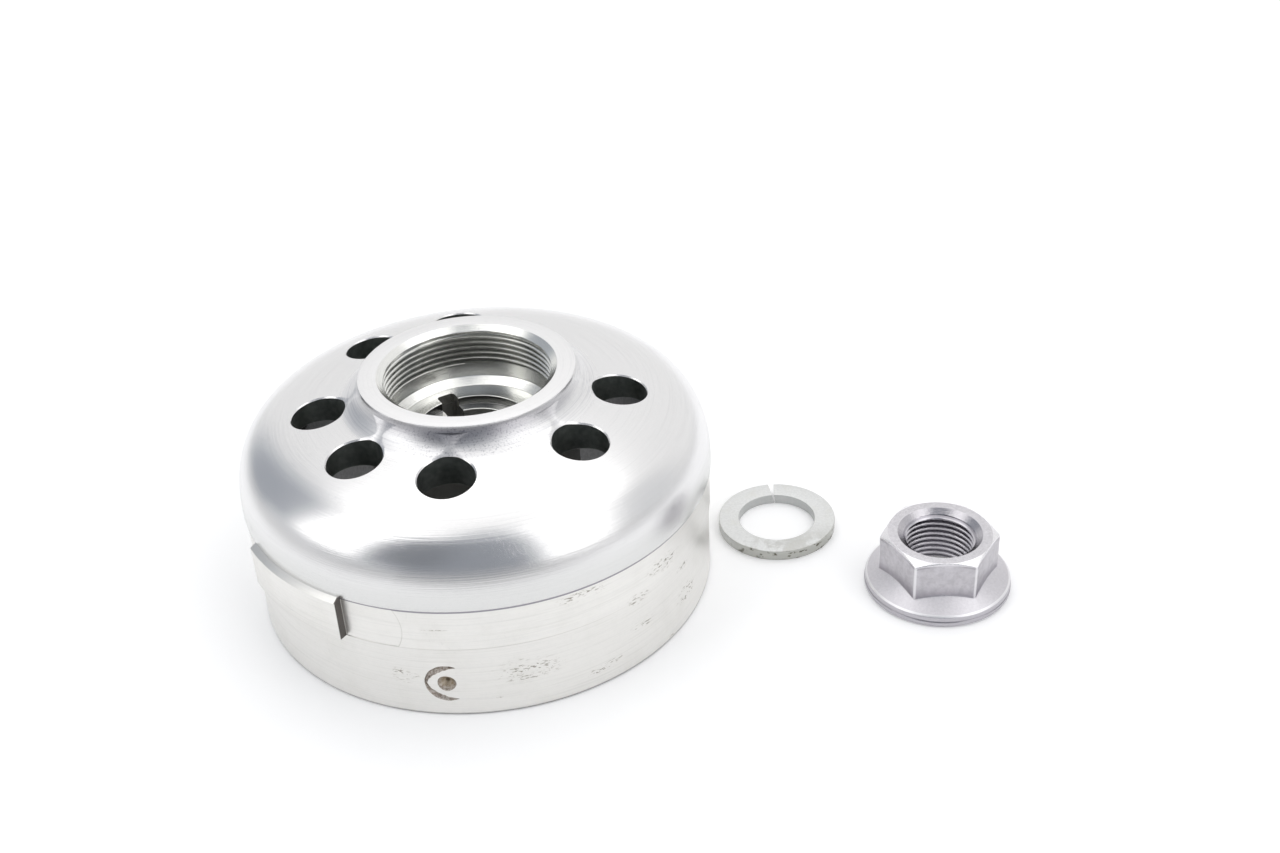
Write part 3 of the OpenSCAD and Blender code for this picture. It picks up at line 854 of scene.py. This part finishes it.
def nutSteel():
    look = dict(
        # hexagon is the colour of painted shade on the hexagon's upright flats
        dark=(0.60, 0.585, 0.615), pale=(0.70, 0.685, 0.715), hexagon=(0.42, 0.405, 0.43),
        # skirt is the colour of painted shade on the flange's upright side
        sink=(0.40, 0.385, 0.41), flange=(0.52, 0.505, 0.535), skirtShade=(0.38, 0.37, 0.40),
        # colours of painted highlights on the edges, of painted shade at the flats' foot and under the
        # chamfer
        paintedHighlight=(0.88, 0.87, 0.89), foot=(0.30, 0.28, 0.32), underChamferShade=(0.20, 0.19, 0.21),
        corner=(0.82, 0.81, 0.83), thread=(0.42, 0.40, 0.45), root=(0.22, 0.21, 0.24),
        rim=(0.25, 0.24, 0.27))

    def build(wire):
        p = place(wire, nut["place"])
        z, radius, edge = p["z"], p["radius"], nut["flange"]
        grain = wire.noise(p["solid"], 2.5, 5.0, 0.7)
        flatGrain = wire.noise(p["solid"], 0.9, 3.0, 0.6)
        thread = radius.rise(6.15, 5.95)
        root = radius.band(5.7, 6.05, 0.08) * z.rise(9.6, 9.2)
        facing = wire.node("ShaderNodeNewGeometry", None, None, out=1)
        lean = facing.node("ShaderNodeSeparateXYZ", None, {0: facing}, out=2).maths("ABSOLUTE")
        # painted shade: the hexagon's upright faces are darker, varied by a grain
        hexagon = radius.band(8.3, 10.0, 0.1) * z.band(2.9, 9.6, 0.3) * lean.rise(0.5, 0.2)
        # painted shade: the flats darken towards the flange
        foot = hexagon * z.rise(6.0, 3.4)
        rim = radius.rise(11.4, 11.7) * z.band(0.95, 1.15, 0.06)
        sink = radius.band(nut["crest"] + 0.6, nut["sink"] - 0.02, 0.05) * z.rise(8.0, 9.0)
        flange = z.rise(3.9, 3.7) * radius.rise(8.4, 8.6)
        # painted shade: the flange's upright side is darker below its edge
        skirtShade = radius.rise(11.6, 11.9) * z.rise(1.95, 1.8)
        # painted highlights on the flange's edge, the hexagon's corners and the chamfer's edge
        paintedHighlight = radius.band(edge - 0.45, edge - 0.12, 0.05) * z.rise(1.8, 1.95)
        # painted highlight along the hexagon's corners
        corner = ((p["angle"] - math.radians(nut["turn"])) * 6.0).maths("COSINE").rise(0.982, 0.997)
        crease = z + (radius - nut["land"]) * chamfer - nut["height"]  # height over the chamfer
        chamferHighlight = crease.band(-0.09, 0.05, 0.03) * radius.rise(8.4, 8.5)
        colour = layered(grain.rise(0.3, 0.7).mix(look["dark"], look["pale"]), (
            (hexagon, 0.5 + flatGrain.rise(0.35, 0.65) * 0.35, look["hexagon"]),
            (sink, 0.5, look["sink"]), (flange, 0.3, look["flange"]), (skirtShade, 0.45, look["skirtShade"]),
            (paintedHighlight, 0.75, look["paintedHighlight"]), (foot, 0.55, look["foot"]),
            # painted shade: a dark line just under the chamfer
            (crease.band(-0.55, -0.25, 0.08) * hexagon, 0.45, look["underChamferShade"]),
            (corner * hexagon, 0.7, look["corner"]), (chamferHighlight, 0.8, look["paintedHighlight"]),
            (thread, 0.3, look["thread"]), (root, 0.55, look["root"]), (rim, 0.6, look["rim"])))
        rough = 0.20 + grain * 0.10 + hexagon * 0.08 + flange * 0.12 - thread * 0.06
        return {"Base Color": colour, "Roughness": rough,
                "Normal": bump(wire, grain + flatGrain * 0.5, 0.10, 0.0003)}

    return principled("nut_steel", build)


def innerMetal(name, dark, pale, gloss):
    # a ring turned about the drum's axis
    def build(wire):
        p = place(wire)
        lines = wire.noise(combine(wire, p["radius"], p["z"], p["angle"] * 0.3), 5.0, 3.0, 0.6)
        grain = wire.noise(p["solid"], 2.0, 4.0, 0.6)
        return {"Base Color": grain.rise(0.3, 0.7).mix(dark, pale), "Roughness": gloss + lines * 0.15,
                "Normal": bump(wire, lines + grain * 0.4, 0.12, 0.0002)}

    return principled(name, build)


def cagePlastic():
    def build(wire):
        p = place(wire)
        grain = wire.noise(p["solid"], 3.0, 4.0, 0.6)
        return {"Base Color": grain.rise(0.3, 0.7).mix((0.018, 0.018, 0.020), (0.035, 0.035, 0.038)),
                "Metallic": 0.0, "Roughness": 0.42 + grain * 0.2, "Normal": bump(wire, grain, 0.1, 0.0002)}

    return principled("cage_plastic", build)


def magnetBlack():
    def build(wire):
        p = place(wire)
        grain = wire.noise(p["solid"], 2.4, 5.0, 0.7)
        chips = wire.noise(p["solid"], 0.8, 3.0, 0.6).rise(0.62, 0.70)
        colour = grain.rise(0.3, 0.7).mix((0.030, 0.030, 0.033), (0.065, 0.065, 0.07))
        colour = (chips * 0.6).mix(colour, (0.13, 0.13, 0.135))
        return {"Base Color": colour, "Metallic": 0.0, "Roughness": 0.55 + grain * 0.2,
                "Normal": bump(wire, grain, 0.3, 0.0003)}

    return principled("magnet_black", build)


softEdge = dict(width=0.12, steps=2, angle=40)


def dress(node, material):
    # a CAD solid stays where it is: it gets a material and softened edges
    solid = frame["nodes"][node]
    for socket in solid.material_slots:
        socket.material = material
    edge = solid.modifiers.new("edge", "BEVEL")
    edge.width = softEdge["width"] * mm
    edge.segments = softEdge["steps"]
    edge.limit_method = "ANGLE"
    edge.angle_limit = math.radians(softEdge["angle"])


drumPiece([turnedSteel(), ventSteel(), stainedSteel()])
washerPiece(washerZinc())
nutPiece(nutSteel())

dress("end_spacer", innerMetal("spacer_alloy", (0.50, 0.50, 0.49), (0.62, 0.62, 0.61), 0.32))
dress("magnet_liner", innerMetal("liner_steel", (0.40, 0.40, 0.41), (0.52, 0.52, 0.53), 0.26))
dress("retaining_ring", innerMetal("spring_steel", (0.16, 0.165, 0.17), (0.24, 0.245, 0.25), 0.34))
dress("magnet_cage", cagePlastic())
magnets = [name for name in frame["nodes"] if name.startswith("magnet_") and name[-1].isdigit()]
blackened = magnetBlack()
for name in magnets:
    dress(name, blackened)
print("inner parts:", 4 + len(magnets))


studio = dict(
    lamps=1.75, overhead=1.22, backdrop=0.97,
    # each area: its middle is round from +Y towards +X and up, its sizes are halves, in degrees
    areas=(
        dict(name="room", light=0.95, middle=(50, -8), size=(74, 63), soft=0.07, square=2),
        dict(name="door", light=0.78, middle=(98, 14), size=(22, 32), soft=0.5, square=2),
        dict(name="left", light=0.92, middle=(326, -6), size=(50, 58), soft=0.08, square=2),
        dict(name="corner", light=0.46, middle=(301, 18), size=(25, 36), soft=0.35, square=2),
        dict(name="hood", light=0.68, middle=(181, 62), size=(26, 20), soft=0.30, square=4),
        dict(name="operator", light=0.36, middle=(198, 24), size=(42, 38), soft=0.10, square=6),
        dict(name="coat", light=0.26, middle=(217, 36), size=(17, 27), soft=0.25, square=3),
        dict(name="sill", light=0.72, middle=(258, -16), size=(40, 26), soft=0.10, square=6),
    ),
    cool=(0.84, 0.90, 1.0), floor=(0.90, 0.90, 0.905), floorGlow=0.16, floorDrop=0.02, floorSize=3.0,
    cloth=(0.02, 0.02, 0.025), clothShare=0.6, clothHeight=0.3,
)


def light():
    world = bpy.data.worlds.new("studio")
    scene.world = world
    world.use_nodes = True
    tree = world.node_tree
    tree.nodes.clear()
    wire = Wire(tree)
    way = wire.node("ShaderNodeTexCoord", None, None, out=0)
    x, y, z = [way.node("ShaderNodeSeparateXYZ", None, {0: way}, out=i) for i in range(3)]
    toRound = x.maths("ARCTAN2", y) * (180 / math.pi)
    up = z.maths("ARCSINE") * (180 / math.pi)
    bright = up.rise(62, 74)
    value = studio["lamps"] + bright * (studio["overhead"] - studio["lamps"])
    for area in studio["areas"]:
        round0, up0 = area["middle"]
        across = (((toRound - round0 + 540) / 360).maths("FRACT") * 360 - 180).maths("ABSOLUTE")
        power = area["square"]
        reach = (across / area["size"][0]) ** power
        reach = (reach + ((up - up0).maths("ABSOLUTE") / area["size"][1]) ** power) ** (1 / power)
        mask = reach.rise(1 + area["soft"], 1 - area["soft"])
        value = value + mask * (area["light"] - value)
    grey = combine(wire, value, value, value)
    tinted = wire.node("ShaderNodeMix", {"data_type": "RGBA", "blend_type": "MULTIPLY"},
                       {0: value.rise(0.95, 0.35), 6: grey, 7: studio["cool"]}, out=2)
    seen = wire.node("ShaderNodeLightPath")
    pale = studio["backdrop"]
    shown = seen.mix(tinted, (pale, pale, pale))
    back = wire.node("ShaderNodeBackground", None, {"Color": shown})
    wire.node("ShaderNodeOutputWorld", None, {"Surface": back})


def ground(name, height, build):
    size = studio["floorSize"]
    mesh = bpy.data.meshes.new(name)
    mesh.from_pydata([(-size, -size, 0), (size, -size, 0), (size, size, 0), (-size, size, 0)], [],
                     [(0, 1, 2, 3)])
    plane = bpy.data.objects.new(name, mesh)
    plane.location.z = height * mm
    scene.collection.objects.link(plane)
    material = bpy.data.materials.new(name)
    material.use_nodes = True
    material.node_tree.nodes.clear()
    wire = Wire(material.node_tree)
    shader = wire.node("ShaderNodeBsdfPrincipled", None, build(wire))
    wire.node("ShaderNodeOutputMaterial", None, {"Surface": shader})
    mesh.materials.append(material)
    return plane


def floor():
    def build(wire):
        return {"Base Color": studio["floor"], "Roughness": 0.9, "Specular IOR Level": 0.1,
                "Emission Color": (1.0, 1.0, 1.0), "Emission Strength": studio["floorGlow"]}

    ground("floor", -studio["floorDrop"], build)


def flag():
    # dark cloth in front, left and right of the drum, in metres: it shows in reflections only
    def build(wire):
        spot = wire.node("ShaderNodeTexCoord", None, None, out=3)
        x, y = [spot.node("ShaderNodeSeparateXYZ", None, {0: spot}, out=i) for i in range(2)]
        front = y.rise(-0.072, -0.19)
        left = (x + y * 0.27).rise(-0.075, -0.19) * 0.6
        right = (x - y * 0.555).rise(0.14, 0.26) * 0.6
        return {"Base Color": studio["cloth"], "Roughness": 0.9, "Specular IOR Level": 0.1,
                "Alpha": front.most(left).most(right) * studio["clothShare"]}

    cloth = ground("flag", studio["clothHeight"], build)
    cloth.visible_camera = False
    cloth.visible_diffuse = False
    cloth.visible_shadow = False


def camera():
    view = dict(place=(0.0, -0.22021, 0.16598), pan=0.1236, pitch=0.5689, roll=-0.0534, lens=44.474)
    pan, pitch, roll = view["pan"], view["pitch"], view["roll"]
    forward = Vector((math.sin(pan) * math.cos(pitch), math.cos(pan) * math.cos(pitch), -math.sin(pitch)))
    right = Vector((math.cos(pan), -math.sin(pan), 0))
    up = right.cross(forward)
    side = math.cos(roll) * right + math.sin(roll) * up
    head = math.cos(roll) * up - math.sin(roll) * right
    data = bpy.data.cameras.new("camera")
    data.lens = view["lens"]
    data.sensor_width = 36.0
    data.clip_start = 0.01
    made = bpy.data.objects.new("camera", data)
    turn = Matrix((side, head, -forward)).transposed().to_4x4()
    made.matrix_world = Matrix.Translation(view["place"]) @ turn
    scene.collection.objects.link(made)
    scene.camera = made


light()
floor()
flag()
camera()
scene.view_settings.view_transform = "Standard"
print("studio ready")
